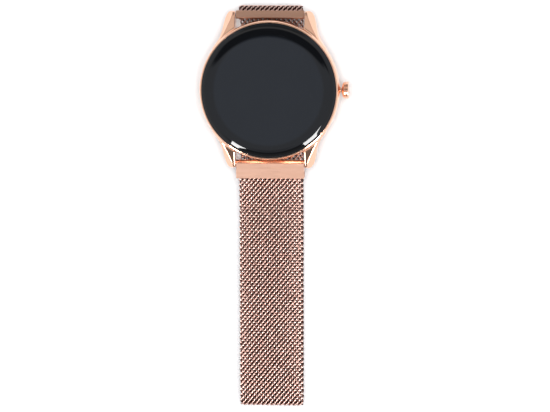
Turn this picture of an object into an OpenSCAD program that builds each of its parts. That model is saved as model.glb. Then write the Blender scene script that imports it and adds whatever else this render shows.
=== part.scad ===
// Round smartwatch with a woven metal strap, unclasped, its long half folded back under the case.
// Frame: origin at the middle of the sensor window's outer face, +X towards the crown (3 o'clock),
// +Y towards 12 o'clock, +Z out of the cover glass. Heights below are counted from the surface
// that the watch lies on, and up() lowers them to the frame.

/* [Case] */
// Outside diameter of the round case
case_d = 40; // [39.8:0.1:40.4]
// Diameter of the domed cover glass
glass_d = 38.8; // [38.4:0.1:38.9]
// Height of the dome's middle above the rim
dome_h = 1.3; // [0.8:0.1:1.8]
// Gap between the two lugs of a pair
lug_gap = 20.1; // [20:0.05:20.4]
// Distance from the case's centre to each spring bar
bar_y = 21.35; // [21.3:0.05:21.6]

/* [Crown] */
// Diameter of the crown's head
crown_d = 4.9; // [4.4:0.1:5.2]
// Length of the crown's head
crown_l = 2.1; // [1.9:0.1:2.6]

/* [Strap] */
// Width of the woven mesh
mesh_w = 18.4; // [17.6:0.1:18.8]
// Thickness of the woven mesh
mesh_t = 1.5; // [1.3:0.05:1.5]
// Width of the end links
link_w = 19.5; // [19:0.1:19.7]
// Distance between neighbouring rows of the weave
row_pitch = 0.765; // [0.74:0.005:0.79]
// Distance from the case's centre to the fold of the long half
fold_y = 90.3; // [86:0.1:94]

/* [Hidden] */
$fn = 96;

lift = 1.8;         // height of the sensor window's face above the resting surface
cr = case_d / 2;
gr = glass_d / 2;
rim_z = 11.2;       // top of the metal rim
crown_z = 7.2;      // height of the crown's axis
bar_z = 6.4;        // height of the spring bars
bar_r = 0.75;       // spring bar tube
tip_r = 0.4;        // spring bar tips
knuckle = 1.15;     // half thickness of an end link
cavity_r = 17.3;
gold = [0.90, 0.66, 0.55];
satin = [0.86, 0.62, 0.53];
weave = [0.66, 0.45, 0.38];
dark = [0.05, 0.055, 0.07];

module up() translate([0, 0, -lift]) children();
// a profile drawn as [y, z], extruded along X about the middle
module along_x(w) rotate([90, 0, 90]) linear_extrude(height = w, center = true) children();
// a profile drawn as [radius, x], turned about the X axis
module turned_x() rotate([0, 90, 0]) rotate_extrude() children();

// ---------------------------------------------------------------- strap paths, in [y, z]
function nrm(v) = v / norm(v);
// the side of a direction that faces outwards; sg is 1 on the 12 o'clock half and -1 on the other
function outw(d, sg) = [-d[1] * sg, d[0] * sg];
function step(p, a, l, sg) = [p[0] + sg * l * cos(a), p[1] - l * sin(a)];

short_a = 35;       // tilt of the short link
short_b = 29;       // each bend of the short half
short_tail_z = 1.35;
s0 = step([bar_y, bar_z], short_a, 0.8, 1);
s1 = step(s0, short_a, 1.5 * row_pitch, 1);
s2 = step(s1, short_a + short_b, row_pitch, 1);
s_drop = row_pitch * (sin(short_a + 3 * short_b) + sin(short_a + 4 * short_b));
s3 = step(s2, short_a + 2 * short_b, (s2[1] - short_tail_z - s_drop) / sin(short_a + 2 * short_b), 1);
s4 = step(s3, short_a + 3 * short_b, row_pitch, 1);
s5 = step(s4, short_a + 4 * short_b, row_pitch, 1);

long_a = 4;         // tilt of the long link
end_a = 8;          // slope of the front run where the fold begins
long_b = (180 - end_a) / 6;
l_drop = row_pitch * (sin(end_a + long_b) + sin(end_a + 2 * long_b) + sin(end_a + 3 * long_b)
  + sin(end_a + 4 * long_b) + sin(end_a + 5 * long_b));
l1 = [-fold_y, mesh_t / 2 + l_drop];
l2 = step(l1, end_a + long_b, row_pitch, -1);
l3 = step(l2, end_a + 2 * long_b, row_pitch, -1);
l4 = step(l3, end_a + 3 * long_b, row_pitch, -1);
l5 = step(l4, end_a + 4 * long_b, row_pitch, -1);
l6 = step(l5, end_a + 5 * long_b, row_pitch, -1);
link_end = step([-bar_y, bar_z], long_a, 4.05, -1);
in_slot = step([-bar_y, bar_z], long_a, 2.0, -1);

// one rigid stretch of mesh along pts; ja and jb say that it meets a pivot at its start or end,
// where its inner half is cut back so that it can fold by b degrees
gap = 0.02;
module mesh_piece(pts, sg, ja, jb, b) {
  n = len(pts);
  h = mesh_t / 2;
  cut = h * tan(b / 2);
  d = [for (i = [0 : n - 2]) nrm(pts[i + 1] - pts[i])];
  function off(i, e) = let (a = outw(d[max(i - 1, 0)], sg), c = outw(d[min(i, n - 2)], sg), m = nrm(a + c))
    pts[i] + m * e * h / (m * a);
  start = ja
    ? [pts[0] - outw(d[0], sg) * h + d[0] * (gap + cut), pts[0] + d[0] * gap, pts[0] + outw(d[0], sg) * h + d[0] * gap]
    : [off(0, -1), off(0, 1)];
  tip = jb
    ? [pts[n - 1] + outw(d[n - 2], sg) * h - d[n - 2] * gap, pts[n - 1] - d[n - 2] * gap,
       pts[n - 1] - outw(d[n - 2], sg) * h - d[n - 2] * (gap + cut)]
    : [off(n - 1, 1), off(n - 1, -1)];
  over = n > 2 ? [for (i = [1 : n - 2]) off(i, 1)] : [];
  under = n > 2 ? [for (i = [n - 2 : -1 : 1]) off(i, -1)] : [];
  color(weave) up() along_x(mesh_w) polygon(concat(start, over, tip, under));
}

// ---------------------------------------------------------------- case
// outline of one lug seen from the front
module lug_plan() {
  w = lug_gap / 2;
  polygon([[w, 13.5], [w, 21.9], [w + 0.12, 22.25], [w + 0.4, 22.45], [w + 0.9, 22.5], [w + 1.45, 22.4],
    [w + 2.0, 22.05], [w + 2.4, 21.5], [w + 2.75, 20.7], [w + 3.05, 19.6], [w + 3.35, 18.2], [w + 3.65, 16.8],
    [w + 4.0, 15.6], [w + 4.5, 14.4], [w + 5.2, 13.2], [w + 5.4, 11.6], [w + 3, 11.6]]);
}
// side outline of the lugs, as [y, z]
module lug_side() {
  polygon([[10, 3.6], [15.5, 3.65], [18.5, 4.0], [20.6, 4.55], [21.7, 5.05], [22.3, 5.7], [22.5, 6.4], [22.45, 7.0],
    [22.15, 7.55], [21.5, 8.0], [20.3, 8.45], [18.6, 9.0], [16.8, 9.5], [15, 9.8], [10, 9.9]]);
}
module lug_pair() {
  intersection() {
    translate([0, 0, 2]) linear_extrude(height = 9) { lug_plan(); mirror([1, 0]) lug_plan(); }
    along_x(40) lug_side();
  }
}
module case_middle() color(gold) up() difference() {
  union() {
    rotate_extrude($fn = 180) polygon([[16, 3.0], [cr - 1.5, 3.0], [cr - 1.0, 3.2], [cr - 0.62, 3.65], [cr - 0.35, 4.3],
      [cr - 0.15, 5.2], [cr - 0.04, 6.2], [cr, 7.2], [cr, 9.3], [cr - 0.03, 9.9], [cr - 0.1, 10.35], [cr - 0.22, 10.75],
      [cr - 0.36, 11.02], [cr - 0.48, 11.15], [cr - 0.56, rim_z], [16, rim_z]]);
    lug_pair();
    mirror([0, 1, 0]) lug_pair();
  }
  translate([0, 0, 2.5]) cylinder(r = cavity_r, h = 12);
  translate([0, 0, 10.25]) cylinder(r = gr + 0.03, h = 3);
  translate([0, 0, 2]) cylinder(r = 18.05, h = 2.5);
  // crown hole and the seat of its collar
  translate([16, 0, crown_z]) rotate([0, 90, 0]) cylinder(r = 1.42, h = 6);
  translate([19.0, 0, crown_z]) rotate([0, 90, 0]) cylinder(r = 2.32, h = 3);
  // spring bar holes in the lugs
  for (s = [-1, 1], e = [-1, 1]) translate([e * 10.9, s * bar_y, bar_z]) rotate([0, 90, 0]) cylinder(r = 0.45, h = 1.8, center = true);
}
module cover_glass() color(dark) up() rotate_extrude($fn = 180) polygon([[0, 10.45], [gr, 10.45], [gr, 10.85],
  [gr - 0.12, 11.1], [gr - 0.45, 11.36], [gr - 0.95, 11.2 + dome_h * 0.34], [gr - 1.6, 11.2 + dome_h * 0.53],
  [gr - 2.4, 11.2 + dome_h * 0.67], [gr - 3.4, 11.2 + dome_h * 0.77], [gr - 5.4, 11.2 + dome_h * 0.865],
  [gr - 9, 11.2 + dome_h * 0.95], [gr - 14, 11.2 + dome_h * 0.99], [0, 11.2 + dome_h]]);
module glass_seal() color([0.1, 0.1, 0.1]) up() translate([0, 0, 10.25]) difference() {
  cylinder(r = gr - 0.1, h = 0.2);
  translate([0, 0, -1]) cylinder(r = 17.5, h = 3);
}
module display_panel() color([0.02, 0.02, 0.03]) up() translate([0, 0, 9.45]) cylinder(r = 16.9, h = 0.98);
module display_backlight() color([0.8, 0.8, 0.82]) up() translate([0, 0, 9.05]) cylinder(r = 16.7, h = 0.39);
module display_flex() color([0.75, 0.5, 0.2]) up() along_x(7) polygon([[-15.6, 9.04], [-11, 9.04], [-11, 8.97], [-15.5, 8.97],
  [-15.5, 8.13], [-12.6, 8.13], [-12.6, 8.04], [-15.6, 8.04]]);

// ---------------------------------------------------------------- inside
module inner_frame() color([0.16, 0.16, 0.17]) up() difference() {
  union() {
    difference() {
      translate([0, 0, 4.55]) cylinder(r = 17.15, h = 4.45);
      translate([0, 0, 4]) cylinder(r = 16.0, h = 6);
    }
    translate([0, 0, 7.8]) difference() {
      cylinder(r = 16.1, h = 0.3);
      translate([0, 0, -1]) cylinder(r = 15.4, h = 3);
    }
    for (a = [45 : 90 : 315]) rotate([0, 0, a]) translate([15.2, 0, 4.55]) cylinder(r = 1.25, h = 3.4);
  }
  for (a = [45 : 90 : 315]) rotate([0, 0, a]) translate([15.2, 0, 4]) cylinder(r = 0.66, h = 3.2);
  translate([13, -2.6, 4]) cube([6, 5.2, 6]);
  translate([-4.2, -18, 7]) cube([8.4, 3.4, 3]);
}
module main_board() color([0.05, 0.28, 0.16]) up() translate([0, 0, 8.15]) difference() {
  cylinder(r = 15.9, h = 0.8);
  translate([-4.2, -17, -1]) cube([8.4, 2.2, 3]);
}
module board_chips() color([0.08, 0.08, 0.09]) up() union() {
  translate([6.9, 2.3, 7.2]) cube([3.4, 4.6, 0.94]);
  translate([10.7, 2.4, 7.4]) cube([1.7, 2.2, 0.74]);
  translate([10.7, 5.2, 7.4]) cube([1.7, 1.7, 0.74]);
  translate([-3, 10.2, 7.35]) cube([2.4, 2.0, 0.79]);
  translate([1.5, 10.4, 7.5]) cube([1.8, 1.6, 0.64]);
  translate([-8, 10.3, 7.5]) cube([2, 1.2, 0.64]);
}
module shield_can() color([0.75, 0.76, 0.78]) up() difference() {
  translate([6.4, 1.8, 6.9]) cube([6.4, 5.6, 1.24]);
  translate([6.55, 1.95, 7.05]) cube([6.1, 5.3, 2]);
}
module battery() color([0.7, 0.71, 0.74]) up() along_x(17.4) translate([0, 4.76]) offset(r = 0.4, $fn = 24) offset(delta = -0.4) translate([-8.3, 0]) square([16.6, 2.95]);
module battery_placed() translate([-3.8, 0, 0]) battery();
module battery_leads() color([0.75, 0.1, 0.08]) up() for (y = [1.2, -0.2]) {
  translate([4.9, y, 6.2]) rotate([0, 90, 0]) cylinder(r = 0.25, h = 0.75, $fn = 24);
  translate([5.4, y, 6.2]) cylinder(r = 0.25, h = 1.94, $fn = 24);
}
module antenna() color([0.8, 0.6, 0.3]) up() translate([0, 0, 5]) intersection() {
  difference() { cylinder(r = 17.27, h = 3); translate([0, 0, -1]) cylinder(r = 17.17, h = 5); }
  translate([-20, -10, -1]) cube([14, 20, 6]);
}
module motor_can() color([0.72, 0.72, 0.74]) up() translate([9.4, -5.8, 5.5]) difference() {
  cylinder(r = 3.5, h = 2.6);
  translate([0, 0, 0.2]) cylinder(r = 3.3, h = 2.2);
}
module motor_shaft() color([0.6, 0.6, 0.62]) up() translate([9.4, -5.8, 5.7]) cylinder(r = 0.4, h = 2.2);
module motor_rotor() color([0.45, 0.45, 0.47]) up() translate([9.4, -5.8, 6.0]) difference() {
  union() {
    cylinder(r = 0.9, h = 1.6);
    intersection() { cylinder(r = 3.0, h = 1.6); translate([0, -4, -1]) cube([4, 8, 4]); }
  }
  translate([0, 0, -1]) cylinder(r = 0.45, h = 4);
}

// ---------------------------------------------------------------- crown, as [radius, x]
head_x = 20.6;
module crown_tube() color(gold) up() translate([0, 0, crown_z]) turned_x() polygon([[1.1, 17.3], [1.4, 17.3], [1.4, 19.0], [2.3, 19.0],
  [2.3, 19.82], [2.18, 19.92], [1.85, 20.0], [1.45, 20.06], [1.15, 20.12], [0.95, 20.18], [0.75, 20.2], [0.75, 18.9], [1.1, 18.9]]);
module crown_stem() color([0.7, 0.7, 0.72]) up() translate([0, 0, crown_z]) turned_x() polygon([[0, 16.0], [0.7, 16.0], [0.7, 16.8],
  [0.5, 16.8], [0.5, 17.15], [0.7, 17.15], [0.7, 22.0], [0, 22.0]]);
module crown_head() color(gold) up() translate([0, 0, crown_z]) turned_x() {
  r = crown_d / 2;
  e = head_x + crown_l;
  polygon([[0.72, head_x], [0.95, head_x + 0.02], [r - 1.0, head_x + 0.12], [r - 0.6, head_x + 0.27], [r - 0.25, head_x + 0.5],
    [r - 0.06, head_x + 0.78], [r, head_x + 1.0], [r - 0.02, head_x + 1.12], [r - 0.16, head_x + 1.17], [r - 0.16, head_x + 1.25],
    [r - 0.02, head_x + 1.3], [r, head_x + 1.42], [r, e - 0.4], [r - 0.07, e - 0.22], [r - 0.25, e - 0.1], [r - 0.6, e - 0.04],
    [0, e], [0, 22.02], [0.72, 22.02]]);
}
module crown_clip() color([0.6, 0.6, 0.62]) up() translate([16.83, 0, crown_z]) rotate([0, 90, 0]) difference() {
  cylinder(r = 1.3, h = 0.28);
  translate([0, 0, -1]) cylinder(r = 0.54, h = 3);
  translate([-0.42, 0, -1]) cube([0.84, 3, 3]);
}
module crown_seals() color([0.1, 0.1, 0.1]) up() translate([0, 0, crown_z]) for (x = [17.8, 18.4])
  turned_x() translate([0.89, x]) circle(r = 0.17, $fn = 32);
module crown_switch() color([0.13, 0.13, 0.14]) up() difference() {
  translate([13.4, -1.5, 5.9]) cube([2.0, 3.0, 2.2]);
  translate([14.3, 0, crown_z]) rotate([0, 90, 0]) cylinder(r = 0.65, h = 3);
}
module switch_plunger() color([0.85, 0.85, 0.85]) up() translate([14.85, 0, crown_z]) rotate([0, 90, 0]) cylinder(r = 0.6, h = 1.13);

// ---------------------------------------------------------------- back
module rear_cover() color([0.1, 0.1, 0.11]) up() translate([0, 0, 3.0]) difference() {
  cylinder(r = 18.0, h = 1.2);
  translate([0, 0, -1]) cylinder(r = 7.46, h = 4);
  translate([0, 0, 0.45]) cylinder(r = 8.25, h = 2);
  for (a = [45 : 90 : 315]) rotate([0, 0, a]) translate([15.2, 0, -1]) { cylinder(r = 0.72, h = 4); cylinder(r = 1.32, h = 1.6); }
  for (x = [-3, 3]) translate([x, -11.5, -1]) cylinder(r = 0.93, h = 4);
  for (x = [-7.5, 7.5]) translate([x, -11.5, 0.5]) cylinder(r = 1.55, h = 2);
}
module rear_gasket() color([0.15, 0.15, 0.15]) up() translate([0, 0, 4.21]) difference() {
  cylinder(r = 17.95, h = 0.28);
  translate([0, 0, -1]) cylinder(r = 17.35, h = 3);
}
module rear_screws() color([0.7, 0.7, 0.72]) up() for (a = [45 : 90 : 315]) rotate([0, 0, a]) translate([15.2, 0, 3.05]) difference() {
  union() { cylinder(r = 1.25, h = 0.54); cylinder(r = 0.64, h = 3.9); }
  translate([0, 0, -1]) cylinder(r = 0.55, h = 1.3, $fn = 6);
}
module sensor_window() color([0.03, 0.03, 0.035]) up() rotate_extrude($fn = 120) polygon([[0, lift], [5.6, lift], [6.3, 1.9], [6.9, 2.15],
  [7.25, 2.5], [7.4, 2.95], [7.4, 3.46], [8.2, 3.46], [8.2, 3.9], [0, 3.9]]);
module sensor_board() color([0.05, 0.25, 0.15]) up() translate([0, 0, 4.24]) cylinder(r = 7.0, h = 0.4);
module sensor_leds() color([0.3, 0.8, 0.4]) up() for (p = [[-2.4, -0.8], [1.0, -0.8], [-0.8, 1.8]]) translate([p[0], p[1], 3.92]) cube([1.5, 1.5, 0.31]);
module sensor_flex() color([0.75, 0.5, 0.2]) up() along_x(4) polygon([[5, 4.65], [9.2, 4.65], [9.2, 8.13], [9.1, 8.13], [9.1, 4.73], [5, 4.73]]);
module charging_contacts() color([0.9, 0.75, 0.4]) up() for (x = [-3, 3]) translate([x, -11.5, 2.95]) cylinder(r = 0.9, h = 1.6);
module charging_magnets() color([0.6, 0.6, 0.62]) up() for (x = [-7.5, 7.5]) translate([x, -11.5, 3.52]) cylinder(r = 1.5, h = 1.0);

// ---------------------------------------------------------------- spring bars, shared by both halves
module bar_tube() color([0.72, 0.72, 0.74]) difference() {
  union() {
    translate([-9.6, 0, 0]) rotate([0, 90, 0]) cylinder(r = bar_r, h = 19.2);
    translate([9.6, 0, 0]) rotate([0, 90, 0]) cylinder(r = tip_r, h = 1.35);
  }
  translate([-10, 0, 0]) rotate([0, 90, 0]) cylinder(r = 0.5, h = 15);
  translate([-9.05, -0.42, -2]) cube([2.2, 0.84, 2]);
}
module release_pin() color([0.75, 0.75, 0.77]) union() {
  translate([-10.95, 0, 0]) rotate([0, 90, 0]) cylinder(r = tip_r, h = 1.5);
  translate([-9.5, 0, 0]) rotate([0, 90, 0]) cylinder(r = 0.46, h = 3.2);
  translate([-8.6, 0, -1.75]) cylinder(r = 0.35, h = 1.75);
  translate([-8.6, 0, -1.95]) cylinder(r = 0.55, h = 0.5);
}
// helix of round wire along X, from x0 to x1
module release_spring(x0, x1, turns) {
  k = 12;
  m = 6;
  steps = turns * k;
  R = 0.36;
  w = 0.09;
  ring = [for (i = [0 : steps]) let (a = 360 * i / k, x = x0 + (x1 - x0) * i / steps)
    for (j = [0 : m - 1]) let (b = 360 * j / m, q = R + w * cos(b)) [x + w * sin(b), q * cos(a), q * sin(a)]];
  color([0.7, 0.7, 0.72]) polyhedron(points = ring, faces = concat(
    [[for (j = [0 : m - 1]) j]],
    [[for (j = [m - 1 : -1 : 0]) steps * m + j]],
    [for (i = [0 : steps - 1]) for (j = [0 : m - 1]) let (a = i * m + j, b = i * m + (j + 1) % m) [a, a + m, b + m]],
    [for (i = [0 : steps - 1]) for (j = [0 : m - 1]) let (a = i * m + j, b = i * m + (j + 1) % m) [a, b + m, b]]), convexity = 10);
}
module at_short() up() translate([0, bar_y, bar_z]) rotate([-short_a, 0, 0]) children();
module at_long() up() translate([0, -bar_y, bar_z]) rotate([long_a, 0, 0]) children();

// ---------------------------------------------------------------- short half, drawn with the strap leaving along +Y
module link_short() color(satin) at_short() difference() {
  along_x(link_w) union() {
    circle(r = knuckle);
    translate([0, -knuckle]) square([0.62, 2 * knuckle]);
    translate([0.5, -knuckle + 0.2]) square([0.3, 2 * knuckle - 0.4]);
    for (h = [-1, 1]) translate([0.6, h * (knuckle - 0.2)]) circle(r = 0.2, $fn = 32);
  }
  rotate([0, 90, 0]) cylinder(r = 0.8, h = 30, center = true);
  translate([-9.2, -0.5, -3]) cube([2.5, 1.0, 3]);
}
module spring_bar_short() at_short() bar_tube();
module release_pin_short() at_short() release_pin();
module release_spring_short() at_short() release_spring(-6.1, 4.4, 10);
module mesh_short_root() mesh_piece([step([bar_y, bar_z], short_a, 1.17, 1), s1], 1, false, true, short_b);
module mesh_short_fold_1() mesh_piece([s1, s2], 1, true, true, short_b);
module mesh_short_fold_2() mesh_piece([s2, s3], 1, true, true, short_b);
module mesh_short_fold_3() mesh_piece([s3, s4], 1, true, true, short_b);
module mesh_short_fold_4() mesh_piece([s4, s5], 1, true, true, short_b);
module mesh_short_tail() mesh_piece([s5, [16.2, short_tail_z]], 1, true, false, short_b);
pin_y = 15.1;
module clamp_short() color(gold) up() difference() {
  along_x(mesh_w) union() {
    translate([pin_y, short_tail_z]) circle(r = 1.15);
    translate([pin_y, short_tail_z - 1.15]) square([2.5, 2.3]);
  }
  translate([0, pin_y, short_tail_z]) rotate([0, 90, 0]) cylinder(r = 0.63, h = 30, center = true);
  translate([-15, 16.1, short_tail_z - mesh_t / 2 - 0.02]) cube([30, 3, mesh_t + 0.04]);
}
module buckle_pin() color(gold) up() translate([0, pin_y, short_tail_z]) rotate([0, 90, 0]) cylinder(r = 0.6, h = 21.2, center = true);
module buckle_frame() color(gold) up() difference() {
  translate([0, 0, 0.1]) linear_extrude(height = 2.5) difference() {
    union() {
      translate([-10.7, 8.6]) square([21.4, 6.5]);
      translate([-9.9, 7.8]) square([19.8, 2]);
      for (s = [-1, 1]) { translate([s * 9.9, 8.6]) circle(r = 0.8); translate([s * 10.15, pin_y]) circle(r = 0.55); }
      for (s = [-1, 1]) translate([s * 10.15 - 0.55, pin_y - 1]) square([1.1, 2.0]);
    }
    translate([-9.6, 9.3]) square([19.2, 20]);
  }
  translate([0, pin_y, short_tail_z]) rotate([0, 90, 0]) cylinder(r = 0.6, h = 21.2, center = true);
}

// ---------------------------------------------------------------- long half
module link_long() color(satin) at_long() mirror([0, 1, 0]) difference() {
  along_x(link_w) union() {
    circle(r = knuckle);
    translate([0, -knuckle]) square([4.05, 2 * knuckle]);
    translate([-0.3, 0.6]) square([4.35, knuckle - 0.48]);
  }
  rotate([0, 90, 0]) cylinder(r = 0.8, h = 30, center = true);
  translate([-9.2, -0.5, -3]) cube([2.5, 1.0, 3]);
  translate([-15, 1.9, -mesh_t / 2 - 0.02]) cube([30, 4, mesh_t + 0.04]);
}
module spring_bar_long() at_long() bar_tube();
module release_pin_long() at_long() release_pin();
module release_spring_long() at_long() release_spring(-6.1, 4.4, 10);
module mesh_long_front() mesh_piece([in_slot, link_end, [-33, 4.65], [l1[0] + (4.65 - l1[1]) / tan(end_a), 4.65], l1], -1, false, true, long_b);
module mesh_long_fold_1() mesh_piece([l1, l2], -1, true, true, long_b);
module mesh_long_fold_2() mesh_piece([l2, l3], -1, true, true, long_b);
module mesh_long_fold_3() mesh_piece([l3, l4], -1, true, true, long_b);
module mesh_long_fold_4() mesh_piece([l4, l5], -1, true, true, long_b);
module mesh_long_fold_5() mesh_piece([l5, l6], -1, true, true, long_b);
module mesh_long_tail() mesh_piece([l6, [-36, mesh_t / 2], [-24, 1.35], [-15.7, 1.35]], -1, true, false, long_b);
// the magnet at the end of the long half: a shallow tray open below, its magnet and its cover plate
module magnet_housing() color(gold) up() difference() {
  translate([-9.6, -17.6, 0.35]) cube([19.2, 9.2, 2.3]);
  translate([-8.9, -15.3, 0]) cube([17.8, 6.2, 2.25]);
  translate([-15, -18, 1.35 - mesh_t / 2 - 0.02]) cube([30, 2.4, mesh_t + 0.04]);
}
module magnet_block() color([0.6, 0.6, 0.62]) up() translate([-8.8, -15.2, 0.4]) cube([17.6, 6.0, 1.8]);
module magnet_cover() color(gold) up() translate([-9.6, -17.6, 0.05]) cube([19.2, 9.2, 0.29]);

case_middle();
cover_glass();
glass_seal();
display_panel();
display_backlight();
display_flex();
inner_frame();
main_board();
board_chips();
shield_can();
battery_placed();  // battery
battery_leads();
antenna();
motor_can();
motor_shaft();
motor_rotor();
crown_tube();
crown_switch();
switch_plunger();
crown_stem();
crown_head();
crown_clip();
crown_seals();
rear_cover();
rear_gasket();
rear_screws();
sensor_window();
sensor_board();
sensor_leds();
sensor_flex();
charging_contacts();
charging_magnets();
link_short();
spring_bar_short();
release_pin_short();
release_spring_short();
mesh_short_root();
mesh_short_fold_1();
mesh_short_fold_2();
mesh_short_fold_3();
mesh_short_fold_4();
mesh_short_tail();
clamp_short();
buckle_pin();
buckle_frame();
link_long();
spring_bar_long();
release_pin_long();
release_spring_long();
mesh_long_front();
mesh_long_fold_1();
mesh_long_fold_2();
mesh_long_fold_3();
mesh_long_fold_4();
mesh_long_fold_5();
mesh_long_tail();
magnet_housing();
magnet_block();
magnet_cover();
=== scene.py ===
import bpy, bmesh, math
import numpy as np
from mathutils import Vector, Matrix


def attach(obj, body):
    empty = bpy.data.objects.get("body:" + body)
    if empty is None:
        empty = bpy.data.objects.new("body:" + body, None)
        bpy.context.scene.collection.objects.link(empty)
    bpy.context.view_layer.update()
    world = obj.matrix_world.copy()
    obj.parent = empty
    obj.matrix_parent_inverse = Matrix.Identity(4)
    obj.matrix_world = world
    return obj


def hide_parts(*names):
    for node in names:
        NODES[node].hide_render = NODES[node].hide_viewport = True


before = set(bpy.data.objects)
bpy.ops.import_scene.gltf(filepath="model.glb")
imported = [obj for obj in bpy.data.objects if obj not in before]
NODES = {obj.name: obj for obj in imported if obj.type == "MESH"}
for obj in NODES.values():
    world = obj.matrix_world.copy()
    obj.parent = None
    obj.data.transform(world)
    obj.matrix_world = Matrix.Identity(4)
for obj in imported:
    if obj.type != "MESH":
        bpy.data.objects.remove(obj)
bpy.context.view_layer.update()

LIFT = 1.8                      # the shapes below are drawn in mm, with heights from the resting surface


# ------------------------------------------------------------------ meshes
def put(v):
    v = np.array(v, float)
    v[:, 2] -= LIFT
    return v * 0.001


def quads(name, v, q, smooth=True):
    v, q = put(v), np.asarray(q, np.int32)
    me = bpy.data.meshes.new(name)
    me.vertices.add(len(v)); me.vertices.foreach_set("co", v.astype(np.float32).ravel())
    me.loops.add(q.size); me.loops.foreach_set("vertex_index", q.ravel())
    me.polygons.add(len(q))
    me.polygons.foreach_set("loop_start", np.arange(0, q.size, q.shape[1], dtype=np.int32))
    me.polygons.foreach_set("loop_total", np.full(len(q), q.shape[1], np.int32))
    me.polygons.foreach_set("use_smooth", np.full(len(q), smooth))
    me.update(calc_edges=True); me.validate()
    o = bpy.data.objects.new(name, me)
    bpy.context.scene.collection.objects.link(o)
    return o


def finish_piece(o, body, nodes, mat):
    o.data.materials.clear(); o.data.materials.append(mat)
    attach(o, body)
    if nodes:
        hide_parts(*nodes)
    return o


def smooth_line(pts, n=8):
    """Points along a smooth curve through pts."""
    p = np.array(pts, float)
    out = []
    for i in range(len(p) - 1):
        a, b = p[i], p[i + 1]
        ta = (p[min(i + 1, len(p) - 1)] - p[max(i - 1, 0)]) * 0.5
        tb = (p[min(i + 2, len(p) - 1)] - p[i]) * 0.5
        L = np.linalg.norm(b - a)
        if np.linalg.norm(ta) > 1e-9: ta = ta / np.linalg.norm(ta) * L
        if np.linalg.norm(tb) > 1e-9: tb = tb / np.linalg.norm(tb) * L
        t = np.linspace(0, 1, n, endpoint=False)[:, None]
        out.append((2*t**3-3*t**2+1)*a + (t**3-2*t**2+t)*ta + (-2*t**3+3*t**2)*b + (t**3-t**2)*tb)
    out.append(p[-1:])
    return np.concatenate(out)


def lathe(name, profile, axis, centre=(0, 0, 0), n=256, closed=True):
    """profile: (radius, place on the axis). The first and last point may lie on the axis."""
    pr = np.array(profile, float)
    th = np.linspace(0, 2 * np.pi, n, endpoint=False)
    c, s = np.cos(th), np.sin(th)
    r, a = pr[:, 0][:, None], pr[:, 1][:, None]
    zero = np.zeros_like(r * c)
    if axis == "z":
        v = np.stack([r * c, r * s, a + zero], -1)
    else:
        v = np.stack([a + zero, r * c, r * s], -1)
    v = v.reshape(-1, 3) + np.array(centre)
    m = len(pr)
    rows = range(m if closed else m - 1)
    q = []
    k = np.arange(n); k2 = (k + 1) % n
    for i in rows:
        j = (i + 1) % m
        q.append(np.stack([i * n + k, i * n + k2, j * n + k2, j * n + k], -1))
    q = np.concatenate(q)
    o = quads(name, v, q)
    bm = bmesh.new(); bm.from_mesh(o.data)
    bmesh.ops.remove_doubles(bm, verts=bm.verts, dist=1e-7)
    bmesh.ops.recalc_face_normals(bm, faces=bm.faces)
    bm.to_mesh(o.data); bm.free()
    o.data.set_sharp_from_angle(angle=math.radians(32))
    return o


def softened(node, name, width, body, mat, segments=3, angle=38):
    """A new piece in the shape of a CAD node, with its edges rounded."""
    me = NODES[node].data.copy(); me.name = name
    o = bpy.data.objects.new(name, me)
    bpy.context.scene.collection.objects.link(o)
    if me.has_custom_normals:
        me.attributes.remove(me.attributes["custom_normal"]) if "custom_normal" in me.attributes else None
    bm = bmesh.new(); bm.from_mesh(me)
    bmesh.ops.remove_doubles(bm, verts=bm.verts, dist=2e-6)
    bmesh.ops.dissolve_limit(bm, angle_limit=math.radians(0.6), verts=bm.verts, edges=bm.edges)
    bm.to_mesh(me); bm.free()
    for k in list(o.keys()):
        if k.startswith("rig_"): del o[k]
    b = o.modifiers.new("edge", "BEVEL")
    b.width = width * 0.001; b.segments = segments; b.limit_method = "ANGLE"; b.angle_limit = math.radians(angle)
    b.use_clamp_overlap = True; b.miter_outer = "MITER_ARC"; b.harden_normals = False
    bpy.context.view_layer.update()
    dg = bpy.context.evaluated_depsgraph_get()
    new = bpy.data.meshes.new_from_object(o.evaluated_get(dg), preserve_all_data_layers=True, depsgraph=dg)
    o.modifiers.clear(); o.data = new; new.name = name
    if "custom_normal" in new.attributes:
        new.attributes.remove(new.attributes["custom_normal"])
    new.polygons.foreach_set("use_smooth", np.ones(len(new.polygons), bool))
    # each point takes the direction of the largest faces round it, so flat faces stay flat and the rounded edges blend
    nv = np.zeros((len(new.vertices), 3))
    for p in new.polygons:
        w = max(p.area, 1e-14) ** 1.5
        nv[list(p.vertices)] += w * np.array(p.normal)
    nv /= np.maximum(np.linalg.norm(nv, axis=1, keepdims=True), 1e-30)
    new.normals_split_custom_set_from_vertices(nv.tolist())
    return finish_piece(o, body, [node], mat)


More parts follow.
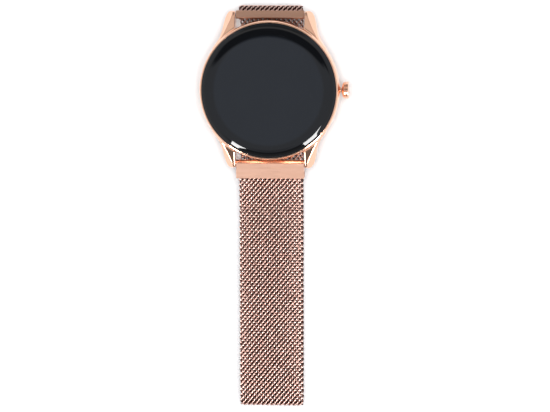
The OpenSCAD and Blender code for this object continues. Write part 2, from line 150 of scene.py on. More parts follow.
# ------------------------------------------------------------------ materials
class Nodes:
    def __init__(self, name):
        m = bpy.data.materials.new(name); m.use_nodes = True
        self.m, self.t = m, m.node_tree
        self.b = self.t.nodes["Principled BSDF"]
        self.tc = self.t.nodes.new("ShaderNodeTexCoord")

    def n(self, kind, **inputs):
        x = self.t.nodes.new("ShaderNode" + kind)
        for k, v in inputs.items():
            x.inputs[k.replace("_", " ")].default_value = v
        return x

    def link(self, a, b): self.t.links.new(a, b)

    def noise(self, scale, detail=3, rough=0.5, stretch=None):
        t = self.n("TexNoise"); t.inputs["Scale"].default_value = scale
        t.inputs["Detail"].default_value = detail; t.inputs["Roughness"].default_value = rough
        src = self.tc.outputs["Object"]
        if stretch:
            mp = self.n("Mapping"); mp.inputs["Scale"].default_value = stretch
            self.link(src, mp.inputs["Vector"]); src = mp.outputs["Vector"]
        self.link(src, t.inputs["Vector"])
        return t.outputs["Fac"]

    def ramp(self, fac, stops):
        r = self.t.nodes.new("ShaderNodeValToRGB")
        e = r.color_ramp.elements
        while len(e) < len(stops): e.new(0.5)
        for x, (p, c) in zip(e, stops):
            x.position = p; x.color = (*c, 1)
        self.link(fac, r.inputs["Fac"]); return r.outputs["Color"]

    def range(self, fac, a, b, lo=0.0, hi=1.0):
        r = self.n("MapRange")
        r.inputs["From Min"].default_value = lo; r.inputs["From Max"].default_value = hi
        r.inputs["To Min"].default_value = a; r.inputs["To Max"].default_value = b
        self.link(fac, r.inputs["Value"]); return r.outputs["Result"]

    def bump(self, h, strength, dist):
        b = self.n("Bump"); b.inputs["Strength"].default_value = strength; b.inputs["Distance"].default_value = dist
        self.link(h, b.inputs["Height"]); self.link(b.outputs["Normal"], self.b.inputs["Normal"])

    def set(self, **k):
        for a, v in k.items(): self.b.inputs[a.replace("_", " ")].default_value = v


def metal(name, c0, c1, r0, r1, scale=900, stretch=None, bump=0.0, dist=2e-6, grain=4000, edge=None, crevice=None):
    g = Nodes(name)
    f = g.noise(scale, 4, 0.55, stretch)
    col = g.ramp(f, [(0.3, c0), (0.7, c1)])
    if edge:                                   # plate worn a little paler on the edges
        geo = g.n("NewGeometry")
        w = g.range(geo.outputs["Pointiness"], 0.0, 0.6, 0.52, 0.62)
        mx = g.t.nodes.new("ShaderNodeMix"); mx.data_type = "RGBA"
        g.link(w, mx.inputs["Factor"]); g.link(col, mx.inputs[6]); mx.inputs[7].default_value = (*edge, 1)
        col = mx.outputs[2]
    g.link(col, g.b.inputs["Base Color"])
    f2 = g.noise(grain, 3, 0.6, stretch)
    g.link(g.range(f2, r0, r1, 0.3, 0.7), g.b.inputs["Roughness"])
    g.set(Metallic=1.0)
    if bump: g.bump(f2, bump, dist)
    if crevice:                                # painted shade: the colour is darkened between the wires, towards the middle of the coil
        at_ = g.n("Attribute"); at_.attribute_name = "crevice"
        w = g.range(at_.outputs["Fac"], 1.0, 0.0, 0.50, 0.80)
        mx = g.t.nodes.new("ShaderNodeMix"); mx.data_type = "RGBA"
        g.link(w, mx.inputs["Factor"]); g.link(col, mx.inputs[6]); mx.inputs[7].default_value = (*crevice, 1)
        g.link(mx.outputs[2], g.b.inputs["Base Color"])
    return g.m


def plain(name, c0, c1, r0, r1, scale=2500, bump=0.15, dist=1e-5, metallic=0.0, coat=0.0):
    g = Nodes(name)
    f = g.noise(scale, 4, 0.6)
    g.link(g.ramp(f, [(0.3, c0), (0.7, c1)]), g.b.inputs["Base Color"])
    g.link(g.range(f, r0, r1, 0.3, 0.7), g.b.inputs["Roughness"])
    g.set(Metallic=metallic)
    if coat: g.set(Coat_Weight=coat, Coat_Roughness=0.03)
    if bump: g.bump(f, bump, dist)
    return g.m


GOLD0, GOLD1 = (0.93, 0.555, 0.39), (0.97, 0.60, 0.43)
M = {}
M["polished_rose_gold"] = metal("polished_rose_gold", GOLD0, GOLD1, 0.07, 0.12, scale=160, grain=2500, bump=0.02, dist=3e-6)
M["satin_rose_gold"] = metal("satin_rose_gold", (0.66, 0.38, 0.267), (0.75, 0.457, 0.333), 0.30, 0.42, scale=700,
                             stretch=(0.06, 1, 1), grain=5200, bump=0.22, dist=6e-6)
# the last, dark brown colour below is painted shade between the wires
M["woven_rose_gold"] = metal("woven_rose_gold", (0.675, 0.425, 0.355), (0.80, 0.545, 0.475), 0.24, 0.34, scale=1800,
                             grain=6000, bump=0.06, dist=4e-6, crevice=(0.10, 0.035, 0.025))
M["black_plastic"] = plain("black_plastic", (0.012, 0.012, 0.014), (0.022, 0.022, 0.025), 0.42, 0.55, 5200, 0.3, 8e-6)
M["rubber_black"] = plain("rubber_black", (0.012, 0.012, 0.012), (0.02, 0.02, 0.02), 0.6, 0.75)
M["display"] = plain("display", (0.004, 0.0045, 0.006), (0.006, 0.007, 0.009), 0.1, 0.14, bump=0)
M["sensor_glass"] = plain("sensor_glass", (0.004, 0.004, 0.006), (0.007, 0.007, 0.009), 0.05, 0.08, 300, 0, coat=0.6)
M["steel"] = metal("steel", (0.42, 0.42, 0.43), (0.55, 0.55, 0.57), 0.25, 0.38)
M["steel_bright"] = metal("steel_bright", (0.62, 0.62, 0.63), (0.72, 0.72, 0.74), 0.14, 0.22)
M["board_green"] = plain("board_green", (0.008, 0.07, 0.03), (0.016, 0.12, 0.055), 0.32, 0.42, 900)
M["chip_black"] = plain("chip_black", (0.012, 0.012, 0.014), (0.024, 0.024, 0.026), 0.5, 0.62)
M["flex_amber"] = plain("flex_amber", (0.42, 0.18, 0.03), (0.52, 0.25, 0.05), 0.25, 0.35)
M["battery_foil"] = plain("battery_foil", (0.55, 0.56, 0.58), (0.66, 0.67, 0.69), 0.3, 0.4, 700, 0.3, 2e-5, metallic=1.0)
M["wire_red"] = plain("wire_red", (0.42, 0.014, 0.01), (0.5, 0.02, 0.015), 0.4, 0.5)
M["white_film"] = plain("white_film", (0.72, 0.72, 0.74), (0.8, 0.8, 0.82), 0.4, 0.5)
M["contact_gold"] = metal("contact_gold", (0.85, 0.58, 0.22), (0.93, 0.68, 0.3), 0.16, 0.26)
M["led_lens"] = plain("led_lens", (0.3, 0.42, 0.3), (0.4, 0.5, 0.38), 0.12, 0.2, bump=0)


def glass_material():
    """Black glass: the printed border is a little darker than the display it frames."""
    g = Nodes("cover_glass")
    sep = g.n("SeparateXYZ"); g.link(g.tc.outputs["Object"], sep.inputs[0])
    comb = g.n("CombineXYZ"); g.link(sep.outputs["X"], comb.inputs["X"]); g.link(sep.outputs["Y"], comb.inputs["Y"])
    ln = g.t.nodes.new("ShaderNodeVectorMath"); ln.operation = "LENGTH"; g.link(comb.outputs[0], ln.inputs[0])
    r = g.range(ln.outputs["Value"], 0, 1, 0.0, 0.02)
    col = g.ramp(r, [(0.0, (0.0062, 0.0085, 0.0125)), (0.765, (0.0058, 0.008, 0.0118)), (0.80, (0.0022, 0.0027, 0.0036)),
                     (0.93, (0.0020, 0.0024, 0.0032)), (0.945, (0.0055, 0.008, 0.011))])
    f = g.noise(120, 2)
    mx = g.t.nodes.new("ShaderNodeMix"); mx.data_type = "RGBA"; mx.blend_type = "MULTIPLY"
    mx.inputs["Factor"].default_value = 1.0
    g.link(col, mx.inputs[6]); g.link(g.ramp(f, [(0.3, (0.9, 0.9, 0.9)), (0.7, (1, 1, 1))]), mx.inputs[7])
    g.link(mx.outputs[2], g.b.inputs["Base Color"])
    g.link(g.range(g.noise(900, 3), 0.02, 0.04, 0.3, 0.7), g.b.inputs["Roughness"])
    g.set(IOR=1.5)
    return g.m


M["cover_glass"] = glass_material()

# ------------------------------------------------------------------ every CAD node gets its material
for name, o in NODES.items():
    ms = [s.material.name.split(".")[0] if s.material else "" for s in o.material_slots]
    for i, s in enumerate(ms):
        o.material_slots[i].material = M.get(s, M["steel"])


for i in range(len(NODES["crown_stem"].material_slots)):
    NODES["crown_stem"].material_slots[i].material = M["polished_rose_gold"]

# ------------------------------------------------------------------ case and lugs, one smooth skin
def closed_distance(px, py, poly):
    """Signed distance from points to a closed outline, negative inside."""
    d = np.full(px.shape, 1e9); inside = np.zeros(px.shape, bool)
    for i in range(len(poly)):
        ax, ay = poly[i]; bx, by = poly[(i + 1) % len(poly)]
        ex, ey = bx - ax, by - ay
        wx, wy = px - ax, py - ay
        t = np.clip((wx * ex + wy * ey) / max(ex * ex + ey * ey, 1e-12), 0, 1)
        d = np.minimum(d, (wx - ex * t) ** 2 + (wy - ey * t) ** 2)
        c = ((ay > py) != (by > py)) & (px < (bx - ax) * (py - ay) / ((by - ay) if abs(by - ay) > 1e-12 else 1e-12) + ax)
        inside ^= c
    return np.where(inside, -1, 1) * np.sqrt(d)


class Table:
    def __init__(self, poly, lo, hi, h=0.025):
        self.lo, self.h = np.array(lo), h
        xs, ys = np.arange(lo[0], hi[0] + h, h), np.arange(lo[1], hi[1] + h, h)
        X, Y = np.meshgrid(xs, ys, indexing="ij")
        self.t = closed_distance(X, Y, poly); self.n = self.t.shape

    def __call__(self, x, y):
        u = np.clip((x - self.lo[0]) / self.h, 0, self.n[0] - 1.001); v = np.clip((y - self.lo[1]) / self.h, 0, self.n[1] - 1.001)
        i, j = u.astype(np.int32), v.astype(np.int32); a, b = u - i, v - j
        t = self.t
        return (t[i, j] * (1 - a) + t[i + 1, j] * a) * (1 - b) + (t[i, j + 1] * (1 - a) + t[i + 1, j + 1] * a) * b


W = 9.95
outer = smooth_line([(W + 0.45, 22.46), (W + 0.9, 22.5), (W + 1.45, 22.4), (W + 2.0, 22.05), (W + 2.4, 21.5), (W + 2.75, 20.7),
                     (W + 3.05, 19.6), (W + 3.35, 18.2), (W + 3.65, 16.8), (W + 4.0, 15.6), (W + 4.5, 14.4), (W + 5.2, 13.2), (W + 6.0, 11.9)], 6)
plan = Table(np.concatenate([[(W, 13.0)], [(W, 22.05)], [(W + 0.06, 22.26)], [(W + 0.2, 22.4)], outer, [(W + 4.5, 10.5)], [(W + 2, 10.5)]]), (8.5, 9.5), (18, 24.5))
side = Table(np.concatenate([smooth_line([(9, 3.6), (15.5, 3.65), (18.5, 4.0), (20.6, 4.55), (21.7, 5.05), (22.3, 5.7), (22.5, 6.4), (22.45, 7.0),
                     (22.15, 7.55), (21.5, 8.0), (20.3, 8.5), (18.6, 9.1), (16.8, 9.62), (15, 10.0), (9, 10.25)], 6)]), (8.5, 2), (24.5, 12.5))
prof = smooth_line([(18.5, 3.0), (19.0, 3.2), (19.38, 3.65), (19.65, 4.3), (19.85, 5.2), (19.96, 6.2), (20.0, 7.2), (20.0, 8.3), (20.0, 9.3),
                    (19.97, 9.9), (19.9, 10.35), (19.78, 10.75), (19.62, 11.02), (19.47, 11.14), (19.31, 11.2)], 16)
ZT = np.linspace(3.0, 11.2, 1200)
RT = np.interp(ZT, prof[:, 1], prof[:, 0])
CT = 1 / np.sqrt(1 + np.gradient(RT, ZT) ** 2)


def smin(a, b, k):
    h = np.maximum(k - np.abs(a - b), 0) / k
    return np.minimum(a, b) - h * h * k * 0.25


def smax(a, b, k): return -smin(-a, -b, k)


P1, P2 = np.array([13.55, 15.2, 9.95]), np.array([10.9, 22.3, 7.2])
dr = (P2 - P1) / np.linalg.norm(P2 - P1)
hz = np.cross(dr, (0, 0, 1.0)); hz /= np.linalg.norm(hz)
if hz[0] < 0: hz = -hz
vt = np.cross(hz, dr); vt = vt if vt[2] > 0 else -vt
FACET = math.cos(math.radians(47)) * vt + math.sin(math.radians(47)) * hz


def f_case(x, y, z):
    ax, ay = np.abs(x), np.abs(y)
    r = np.hypot(x, y)
    body = (r - np.interp(z, ZT, RT)) * np.interp(z, ZT, CT)
    body = np.maximum(body, np.maximum(z - 11.2, 3.0 - z))
    lug = smax(smax(plan(ax, ay), side(ay, z), 0.35), (ax - P1[0]) * FACET[0] + (ay - P1[1]) * FACET[1] + (z - P1[2]) * FACET[2], 0.10)
    d = smin(body, lug, 0.7)
    d = np.maximum(d, -np.maximum(r - 17.3, 2.5 - z))
    d = np.maximum(d, -np.maximum(r - 19.29, 10.25 - z))
    d = np.maximum(d, -np.maximum(r - 18.05, z - 4.5))
    q = np.hypot(y, z - 7.2)
    d = np.maximum(d, -np.maximum(q - 1.42, 16 - x))
    d = np.maximum(d, -np.maximum(q - 2.32, 19.0 - x))
    return d


def contour(f, lo, hi, h):
    """Surface of f = 0 as quads, with sharp edges kept."""
    lo = np.array(lo, float); n = np.ceil((np.array(hi) - lo) / h).astype(int) + 1
    ax = [lo[i] + h * np.arange(n[i]) for i in range(3)]
    F = np.empty(n, np.float32)
    Y, Z = np.meshgrid(ax[1], ax[2], indexing="ij")
    for i in range(n[0]):
        F[i] = f(np.full(Y.shape, ax[0][i]), Y, Z)
    S = F < 0
    eps = 0.012

    def grad(p):
        g = np.stack([f(*(p + e).T) - f(*(p - e).T) for e in np.eye(3) * eps], -1)
        return g / np.maximum(np.linalg.norm(g, axis=1, keepdims=True), 1e-12)

    cells, P, N, Q = [], [], [], []
    for a in range(3):
        sl0 = [slice(None)] * 3; sl1 = [slice(None)] * 3
        sl0[a] = slice(0, -1); sl1[a] = slice(1, None)
        e = np.argwhere(S[tuple(sl0)] != S[tuple(sl1)])
        b, c = (a + 1) % 3, (a + 2) % 3
        e = e[(e[:, b] > 0) & (e[:, c] > 0)]
        p0 = lo + e * h
        e1 = e.copy(); e1[:, a] += 1
        f0 = F[tuple(e.T)].astype(float); f1 = F[tuple(e1.T)].astype(float)
        t0, t1 = np.zeros(len(e)), np.ones(len(e))
        for _ in range(5):
            t = t0 + (t1 - t0) * np.clip(f0 / (f0 - f1), 0.02, 0.98)
            p = p0.copy(); p[:, a] += t * h
            ft = f(*p.T)
            left = (ft < 0) == (f0 < 0)
            t0 = np.where(left, t, t0); f0 = np.where(left, ft, f0)
            t1 = np.where(left, t1, t); f1 = np.where(left, f1, ft)
        t = t0 + (t1 - t0) * np.clip(f0 / (f0 - f1), 0, 1)
        p = p0.copy(); p[:, a] += t * h
        g = grad(p)
        offs = [(0, 0), (1, 0), (1, 1), (0, 1)]
        ids = []
        for ob, oc in offs:
            k = e.copy(); k[:, b] -= ob; k[:, c] -= oc
            ids.append((k[:, 0] * n[1] + k[:, 1]) * n[2] + k[:, 2])
        ids = np.stack(ids, -1)
        flip = S[tuple(e.T)]
        ids = np.where(flip[:, None], ids[:, ::-1], ids)
        Q.append(ids)
        for k in range(4):
            cells.append(ids[:, k]); P.append(p); N.append(g)
    Q = np.concatenate(Q); cells = np.concatenate(cells); P = np.concatenate(P); N = np.concatenate(N)
    u, inv = np.unique(cells, return_inverse=True)
    m = len(u)
    add = lambda w: np.bincount(inv, weights=w, minlength=m)
    cnt = add(np.ones(len(inv)))
    mass = np.stack([add(P[:, i]) for i in range(3)], -1) / cnt[:, None]
    rel = P - mass[inv]
    dn = (rel * N).sum(1)
    A = np.zeros((m, 3, 3)); B = np.zeros((m, 3))
    for i in range(3):
        B[:, i] = add(N[:, i] * dn)
        for j in range(i, 3):
            A[:, i, j] = A[:, j, i] = add(N[:, i] * N[:, j])
    w, V = np.linalg.eigh(A)
    wi = np.where(w > 0.08 * w[:, -1:], 1 / np.maximum(w, 1e-9), 0)
    d = np.einsum("nij,nj,nkj,nk->ni", V, wi, V, B)
    d = np.clip(d, -0.8 * h, 0.8 * h)
    X = mass + d
    look = {int(c): i for i, c in enumerate(u)} if False else None
    q = np.searchsorted(u, Q)
    # corner normals, each taken a little inside its own face
    fc = X[q].mean(1)
    cn = []
    for k in range(4):
        cn.append(grad(X[q[:, k]] * 0.72 + fc * 0.28))
    return X, q, np.stack(cn, 1)


X, q, cn = contour(f_case, (-20.6, -23.05, 2.7), (20.6, 23.0, 11.5), 0.19)
case = quads("case_skin", X, q)
a_, b_, c_ = X[q[:, 0]], X[q[:, 1]], X[q[:, 2]]
fn = np.cross(X[q[:, 2]] - X[q[:, 0]], X[q[:, 3]] - X[q[:, 1]])
if (fn * cn.mean(1)).sum(1).mean() < 0:
    case.data.flip_normals(); cn = cn[:, ::-1]
if len(case.data.loops) == q.size:
    case.data.normals_split_custom_set(cn.reshape(-1, 3).tolist())
finish_piece(case, "case", ["case_middle"], M["polished_rose_gold"])

# ------------------------------------------------------------------ glass
top = smooth_line([(0, 12.5), (5, 12.492), (10, 12.46), (13, 12.41), (14.5, 12.36), (15.5, 12.295), (16.4, 12.20), (17.3, 12.04),
                   (18.1, 11.85), (18.62, 11.56), (18.97, 11.29), (19.17, 11.07), (19.25, 10.9)], 8)
glass = lathe("dome_glass", np.concatenate([top, [(19.25, 10.45), (0, 10.45)]]), "z", closed=False, n=360)
finish_piece(glass, "case", ["cover_glass"], M["cover_glass"])

# ------------------------------------------------------------------ crown
c = (0, 0, 7.2)
tube = lathe("crown_collar", np.concatenate([[(1.1, 17.3), (1.4, 17.3), (1.4, 19.0), (2.3, 19.0)],
       smooth_line([(2.3, 19.78), (2.26, 19.86), (2.1, 19.93), (1.8, 20.0), (1.45, 20.06), (1.15, 20.12), (0.95, 20.18)], 5), [(0.75, 20.2), (0.75, 18.9), (1.1, 18.9)]]), "x", c, 96)
finish_piece(tube, "case", ["crown_tube"], M["polished_rose_gold"])
R, E, H = 2.45, 22.7, 20.6
head = lathe("crown_knob", np.concatenate([[(0.72, H)], smooth_line([(0.78, H), (1.0, H + 0.03), (R - 1.0, H + 0.12), (R - 0.6, H + 0.27), (R - 0.25, H + 0.5), (R - 0.06, H + 0.78),
       (R, H + 0.98), (R - 0.03, H + 1.1), (R - 0.16, H + 1.17), (R - 0.18, H + 1.21), (R - 0.16, H + 1.25), (R - 0.03, H + 1.32), (R, H + 1.44)], 5),
       smooth_line([(R, E - 0.42), (R - 0.07, E - 0.22), (R - 0.25, E - 0.1), (R - 0.6, E - 0.05), (1.2, E - 0.02), (0.0, E)], 5), [(0, 22.02), (0.72, 22.02)]]), "x", c, 128)
finish_piece(head, "crown", ["crown_head"], M["polished_rose_gold"])

# ------------------------------------------------------------------ links, clasp, back


def bevel_normals(o, width, segments, angle=38):
    b = o.modifiers.new("edge", "BEVEL")
    b.width = width * 0.001; b.segments = segments; b.limit_method = "ANGLE"; b.angle_limit = math.radians(angle)
    b.use_clamp_overlap = True; b.miter_outer = "MITER_ARC"
    bpy.context.view_layer.update()
    dg = bpy.context.evaluated_depsgraph_get()
    new = bpy.data.meshes.new_from_object(o.evaluated_get(dg), preserve_all_data_layers=True, depsgraph=dg)
    o.modifiers.clear(); o.data = new
    new.polygons.foreach_set("use_smooth", np.ones(len(new.polygons), bool))
    nv = np.zeros((len(new.vertices), 3))
    for p in new.polygons:
        nv[list(p.vertices)] += max(p.area, 1e-14) ** 1.5 * np.array(p.normal)
    nv /= np.maximum(np.linalg.norm(nv, axis=1, keepdims=True), 1e-30)
    new.normals_split_custom_set_from_vertices(nv.tolist())


def bar_upper():
    """The 12 o'clock link: a round knuckle with a flat face on top."""
    r, tilt = 1.15, math.radians(-14)
    low = [(r * math.cos(t_), r * math.sin(t_)) for t_ in np.radians(np.arange(180, 361, 7.5))]
    pts = low + [(1.14, 0.35), (1.03, 0.88), (-1.03, 0.88), (-1.14, 0.35)]
    ring = [(21.35 + u * math.cos(tilt) - w * math.sin(tilt), 6.4 + u * math.sin(tilt) + w * math.cos(tilt)) for u, w in pts]
    me = bpy.data.meshes.new("link_bar_upper")
    k = len(ring)
    v = put([(-9.75, a, b) for a, b in ring] + [(9.75, a, b) for a, b in ring])
    f = [list(range(k))[::-1], list(range(k, 2 * k))] + [[i, (i + 1) % k, k + (i + 1) % k, k + i] for i in range(k)]
    me.from_pydata(v.tolist(), [], f)
    o = bpy.data.objects.new("link_bar_upper", me); bpy.context.scene.collection.objects.link(o)
    bm = bmesh.new(); bm.from_mesh(me); bmesh.ops.recalc_face_normals(bm, faces=bm.faces); bm.to_mesh(me); bm.free()
    bevel_normals(o, 0.1, 3)
    finish_piece(o, "strap_short", ["link_short"], M["satin_rose_gold"])


bar_upper()
softened("link_long", "link_plate_lower", 0.09, "strap_long", M["satin_rose_gold"])
softened("buckle_frame", "clasp_frame", 0.22, "buckle", M["polished_rose_gold"], 4)
softened("clamp_short", "clasp_clamp", 0.15, "strap_short_end", M["polished_rose_gold"])
softened("magnet_housing", "magnet_tray", 0.2, "strap_long_end", M["polished_rose_gold"], 4)
softened("magnet_cover", "magnet_plate", 0.06, "strap_long_end", M["polished_rose_gold"])
softened("rear_cover", "back_cover", 0.12, "case", M["black_plastic"])
window = lathe("back_window", np.concatenate([[(0, LIFT)], smooth_line([(5.2, LIFT), (5.7, 1.81), (6.3, 1.91), (6.9, 2.16), (7.25, 2.5), (7.38, 2.95)], 6),
       [(7.4, 3.46), (8.2, 3.46), (8.2, 3.9), (0, 3.9)]]), "z", closed=False, n=160)
finish_piece(window, "case", ["sensor_window"], M["sensor_glass"])

# ------------------------------------------------------------------ the woven mesh
PITCH, KX, WIRE = 0.765, 2 * math.pi / 1.305, 0.41
AMP, HGT = 0.585, 0.54
HALF = 9.2


def weave(name, rows, body, nodes, sg):
    """rows: (y, z, heading, parity). Each row is one flattened coil across the strap, hooked into its neighbours."""
    per = 15
    n = int(round(2 * HALF / 1.305 * per)) + 1
    x = np.linspace(-HALF + WIRE / 2, HALF - WIRE / 2, n)
    V, Q, CR = [], [], []
    k = 7
    th = np.linspace(0, 2 * np.pi, k, endpoint=False)
    for (cy, cz, a, par) in rows:
        ph = KX * x + (math.pi if par else 0.0)
        s, co = np.sin(ph), np.cos(ph)
        al = AMP * np.sign(co) * np.abs(co) ** 0.9
        nm = HGT * np.sign(s) * np.abs(s) ** 0.72 * (1 if sg < 0 else -1)
        # the last turn is pressed flat and welded at each edge
        e = np.clip((HALF - WIRE / 2 - np.abs(x)) / 0.5, 0, 1)
        e = 0.55 + 0.45 * e * e * (3 - 2 * e)
        nm = nm * e
        d = np.array([sg * math.cos(a), -math.sin(a)])      # along the strap
        o = np.array([-d[1] * sg, d[0] * sg])               # outwards
        C = np.stack([x, cy + al * d[0] + nm * o[0], cz + al * d[1] + nm * o[1]], -1)
        T = np.gradient(C, axis=0); T /= np.linalg.norm(T, axis=1, keepdims=True)
        ref = np.array([1.0, 0, 0])
        u = np.cross(T, ref); ln = np.linalg.norm(u, axis=1, keepdims=True)
        ctr = C - np.stack([x, np.full(n, cy), np.full(n, cz)], -1)
        w = ctr - (ctr * T).sum(1, keepdims=True) * T; w /= np.maximum(np.linalg.norm(w, axis=1, keepdims=True), 1e-9)
        u = np.cross(T, w)
        rad = np.full(n, WIRE / 2); rad[0] *= 0.55; rad[-1] *= 0.55
        ring = C[:, None] + rad[:, None, None] * (np.cos(th)[None, :, None] * w[:, None] + np.sin(th)[None, :, None] * u[:, None])
        base = sum(len(v) for v in V)
        V.append(ring.reshape(-1, 3))
        # depth from the coil's middle outwards; the material paints shade where this is small
        CR.append(np.abs((ring[:, :, 1] - cy) * o[0] + (ring[:, :, 2] - cz) * o[1]).ravel() / (HGT + WIRE / 2))
        i = np.arange(n - 1)[:, None] * k; j = np.arange(k)[None]
        j2 = (j + 1) % k
        Q.append(base + np.stack([i + j, i + j2, i + k + j2, i + k + j], -1).reshape(-1, 4))
        # closed ends: a fan drawn as quads onto one more point each
        for end, ii, flip in ((C[0] - T[0] * WIRE * 0.3, 0, True), (C[-1] + T[-1] * WIRE * 0.3, (n - 1) * k, False)):
            tip = sum(len(v) for v in V); V.append(end[None]); CR.append(np.array([0.8]))
            jj = np.arange(0, k - 1, 2)
            f = np.stack([np.full(len(jj), tip), base + ii + jj, base + ii + jj + 1, base + ii + (jj + 2) % k], -1)
            Q.append(f[:, ::-1] if not flip else f)
    o = quads(name, np.concatenate(V), np.concatenate(Q))
    bm = bmesh.new(); bm.from_mesh(o.data)
    bmesh.ops.recalc_face_normals(bm, faces=bm.faces)
    bm.to_mesh(o.data); bm.free()
    # this attribute places the painted shade between the wires
    at_ = o.data.attributes.new("crevice", "FLOAT", "POINT")
    at_.data.foreach_set("value", np.concatenate(CR).astype(np.float32))
    return finish_piece(o, body, nodes, M["woven_rose_gold"])


def at(path, s):
    p = np.array(path); L = np.linalg.norm(np.diff(p, axis=0), axis=1); c = np.concatenate([[0], np.cumsum(L)])
    s_ = min(max(s, 0), c[-1] - 1e-6); i = int(np.searchsorted(c, s_, side="right") - 1)
    d = (p[i + 1] - p[i]) / L[i]
    q_ = p[i] + d * (s - c[i])
    return q_, d


def heading(path, s, soft=1.6):
    d = sum(at(path, s + k * soft / 4)[1] for k in (-2, -1, 0, 1, 2))
    return d / np.linalg.norm(d)


def step(p, a, l, sg):
    a = math.radians(a)
    return (p[0] + sg * l * math.cos(a), p[1] - l * math.sin(a))


def length(path): return float(np.linalg.norm(np.diff(np.array(path), axis=0), axis=1).sum())


# long half
end_a = 8.0; lb = (180 - end_a) / 6
l1 = (-90.3, 0.75 + PITCH * sum(math.sin(math.radians(end_a + k * lb)) for k in (1, 2, 3, 4, 5)))
L = [l1]
for k in range(1, 6): L.append(step(L[-1], end_a + k * lb, PITCH, -1))
in_slot = step((-21.35, 6.4), 4, 2.0, -1); link_end = step((-21.35, 6.4), 4, 4.05, -1)
bend = (l1[0] + (4.65 - l1[1]) / math.tan(math.radians(end_a)), 4.65)
front = [in_slot, link_end, (-33, 4.65), bend, l1]
tail = [L[5], (-36, 0.75), (-24, 1.35), (-15.7, 1.35)]


def angle_of(d, sg): return math.atan2(-d[1], sg * d[0])


par = 0
rows = []
S = length(front)
nf = int((S - 0.3) / PITCH)
for i in range(nf):
    s = S - PITCH * (i + 0.5)
    p, d = at(front, s); d = heading(front, s) if i > 1 else d
    rows.append((p[0], p[1], angle_of(d, -1), i % 2))
weave("weave_lower_run", rows, "strap_long", ["mesh_long_front"], -1)
for k in range(5):
    a, b = np.array(L[k]), np.array(L[k + 1]); m = (a + b) / 2
    weave("weave_fold_%d" % (k + 1), [(m[0], m[1], angle_of((b - a) / np.linalg.norm(b - a), -1), (k + 1) % 2)], "strap_long_fold_%d" % (k + 1), ["mesh_long_fold_%d" % (k + 1)], -1)
rows = []
S = length(tail)
for i in range(int((S - 0.3) / PITCH)):
    s = PITCH * (i + 0.5)
    p, d = at(tail, s); d = heading(tail, s) if i > 1 else d
    rows.append((p[0], p[1], angle_of(d, -1), i % 2))
weave("weave_return_run", rows, "strap_long_end", ["mesh_long_tail"], -1)

# short half
sa, sb = 35.0, 29.0
s0 = step((21.35, 6.4), sa, 0.8, 1); s1 = step(s0, sa, 1.5 * PITCH, 1); s2 = step(s1, sa + sb, PITCH, 1)
drop = PITCH * (math.sin(math.radians(sa + 3 * sb)) + math.sin(math.radians(sa + 4 * sb)))
s3 = step(s2, sa + 2 * sb, (s2[1] - 1.35 - drop) / math.sin(math.radians(sa + 2 * sb)), 1)
s4 = step(s3, sa + 3 * sb, PITCH, 1); s5 = step(s4, sa + 4 * sb, PITCH, 1)


def stretch(a, b, count, first):
    a, b = np.array(a), np.array(b); d = (b - a) / np.linalg.norm(b - a)
    return [(*(a + (b - a) * (i + 0.5) / count), angle_of(d, 1), (first + i) % 2) for i in range(count)]


root = [(*(np.array(s1) - (np.array(s1) - np.array(s0)) / 1.5 * (i + 0.5)), math.radians(sa), i % 2) for i in (1, 0)]
weave("weave_upper_root", root, "strap_short", ["mesh_short_root"], 1)
weave("weave_curl_1", stretch(s1, s2, 1, 1), "strap_short_fold_1", ["mesh_short_fold_1"], 1)
weave("weave_curl_2", stretch(s2, s3, 3, 0), "strap_short_fold_2", ["mesh_short_fold_2"], 1)
weave("weave_curl_3", stretch(s3, s4, 1, 1), "strap_short_fold_3", ["mesh_short_fold_3"], 1)
weave("weave_curl_4", stretch(s4, s5, 1, 0), "strap_short_fold_4", ["mesh_short_fold_4"], 1)
weave("weave_upper_tail", [(s5[0] - PITCH * (i + 0.5), 1.35, math.pi, (1 + i) % 2) for i in range(7)], "strap_short_end", ["mesh_short_tail"], 1)

# ------------------------------------------------------------------ floor, light, camera
bm = bmesh.new()
bmesh.ops.create_grid(bm, x_segments=1, y_segments=1, size=3.0)
me = bpy.data.meshes.new("floor"); bm.to_mesh(me); bm.free()
floor = bpy.data.objects.new("floor", me); floor.location = (0, 0, -0.00182)
bpy.context.scene.collection.objects.link(floor)
g = Nodes("floor_pale")
g.link(g.ramp(g.noise(3, 2), [(0.3, (0.93, 0.93, 0.93)), (0.7, (0.95, 0.95, 0.95))]), g.b.inputs["Base Color"])
g.set(Roughness=0.9, Specular_IOR_Level=0.0)
me.materials.append(g.m)

world = bpy.data.worlds.new("studio"); bpy.context.scene.world = world
world.use_nodes = True
t = world.node_tree
bg = t.nodes["Background"]
tc = t.nodes.new("ShaderNodeTexCoord"); sp = t.nodes.new("ShaderNodeSeparateXYZ"); t.links.new(tc.outputs["Generated"], sp.inputs[0])
def curve(fac, stops):
    r = t.nodes.new("ShaderNodeValToRGB"); e = r.color_ramp.elements
    while len(e) < len(stops): e.new(0.5)
    for x, (p, v, tint) in zip(e, stops):
        x.position = (p + 1) / 2; x.color = (v * tint[0], v * tint[1], v * tint[2], 1)
    m = t.nodes.new("ShaderNodeMapRange"); m.inputs["From Min"].default_value = -1
    t.links.new(fac, m.inputs["Value"]); t.links.new(m.outputs["Result"], r.inputs["Fac"])
    return r.outputs["Color"]


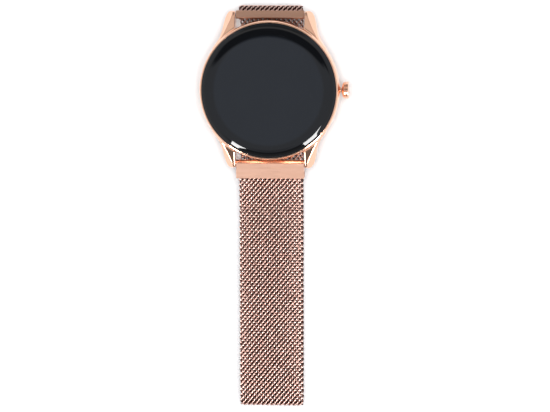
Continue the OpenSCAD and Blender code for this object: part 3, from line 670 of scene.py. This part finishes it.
COOL, WARM = (0.93, 0.97, 1.06), (1.0, 0.97, 0.94)
byY = curve(sp.outputs["Y"], [(-1.0, 0.30, WARM), (-0.80, 0.22, WARM), (-0.52, 0.10, COOL), (-0.42, 0.66, COOL), (0.07, 0.66, COOL),
                              (0.12, 0.09, COOL), (0.33, 0.09, COOL), (0.43, 0.72, WARM), (0.68, 0.68, WARM), (0.80, 0.27, WARM), (1.0, 0.25, WARM)])
ab = t.nodes.new("ShaderNodeMath"); ab.operation = "ABSOLUTE"; t.links.new(sp.outputs["X"], ab.inputs[0])
wx = t.nodes.new("ShaderNodeMapRange"); wx.interpolation_type = "SMOOTHSTEP"
wx.inputs["From Min"].default_value = 0.40; wx.inputs["From Max"].default_value = 0.62
t.links.new(ab.outputs[0], wx.inputs["Value"])
mixw = t.nodes.new("ShaderNodeMix"); mixw.data_type = "RGBA"
t.links.new(wx.outputs["Result"], mixw.inputs["Factor"]); t.links.new(byY, mixw.inputs[6]); mixw.inputs[7].default_value = (0.62, 0.63, 0.66, 1)
t.links.new(mixw.outputs[2], bg.inputs["Color"]); bg.inputs["Strength"].default_value = 1.0


def area(name, loc, target, size, power, colour=(1, 1, 1)):
    l = bpy.data.lights.new(name, "AREA"); l.shape = "RECTANGLE"; l.size, l.size_y = size; l.energy = power; l.color = colour
    o = bpy.data.objects.new(name, l); bpy.context.scene.collection.objects.link(o)
    o.visible_diffuse = False
    o.location = Vector(loc); o.rotation_euler = (Vector(target) - Vector(loc)).to_track_quat("-Z", "Y").to_euler()
    return o


def box_at(az, el, dist, size, power, name):
    a, e = math.radians(az), math.radians(el)
    area(name, (dist * math.cos(e) * math.cos(a), dist * math.cos(e) * math.sin(a), dist * math.sin(e)), (0, -0.02, 0), size, power)


box_at(236, 37, 0.75, (0.09, 0.56), 3.45, "softbox_left")
box_at(303.5, 37, 0.75, (0.18, 0.58), 6.85, "softbox_right")
fill = bpy.data.lights.new("fill", "SUN"); fill.energy = 2.4; fill.angle = math.radians(30)
fo = bpy.data.objects.new("fill", fill); bpy.context.scene.collection.objects.link(fo)
fo.rotation_euler = Vector((0.098, 0.07, 1)).to_track_quat("Z", "Y").to_euler()
fo.visible_glossy = False

D = 1.0
P = Vector((0.00088, -0.03394, 0))
C = Vector((0.098 * D, 0.07 * D, 0.009 + D))
cam_data = bpy.data.cameras.new("cam"); cam = bpy.data.objects.new("cam", cam_data)
bpy.context.scene.collection.objects.link(cam)
z = (C - P).normalized(); xx = Vector((0, 1, 0)).cross(z).normalized(); yy = z.cross(xx)
roll = -0.0013
x2 = math.cos(roll) * xx + math.sin(roll) * yy; y2 = -math.sin(roll) * xx + math.cos(roll) * yy
cam.matrix_world = Matrix(((x2.x, y2.x, z.x, C.x), (x2.y, y2.y, z.y, C.y), (x2.z, y2.z, z.z, C.z), (0, 0, 0, 1)))
cam_data.sensor_width = 36; cam_data.lens = math.exp(5.445)
cam_data.clip_start, cam_data.clip_end = 0.01, 20
bpy.context.scene.camera = cam
bpy.context.scene.view_settings.view_transform = "Standard"
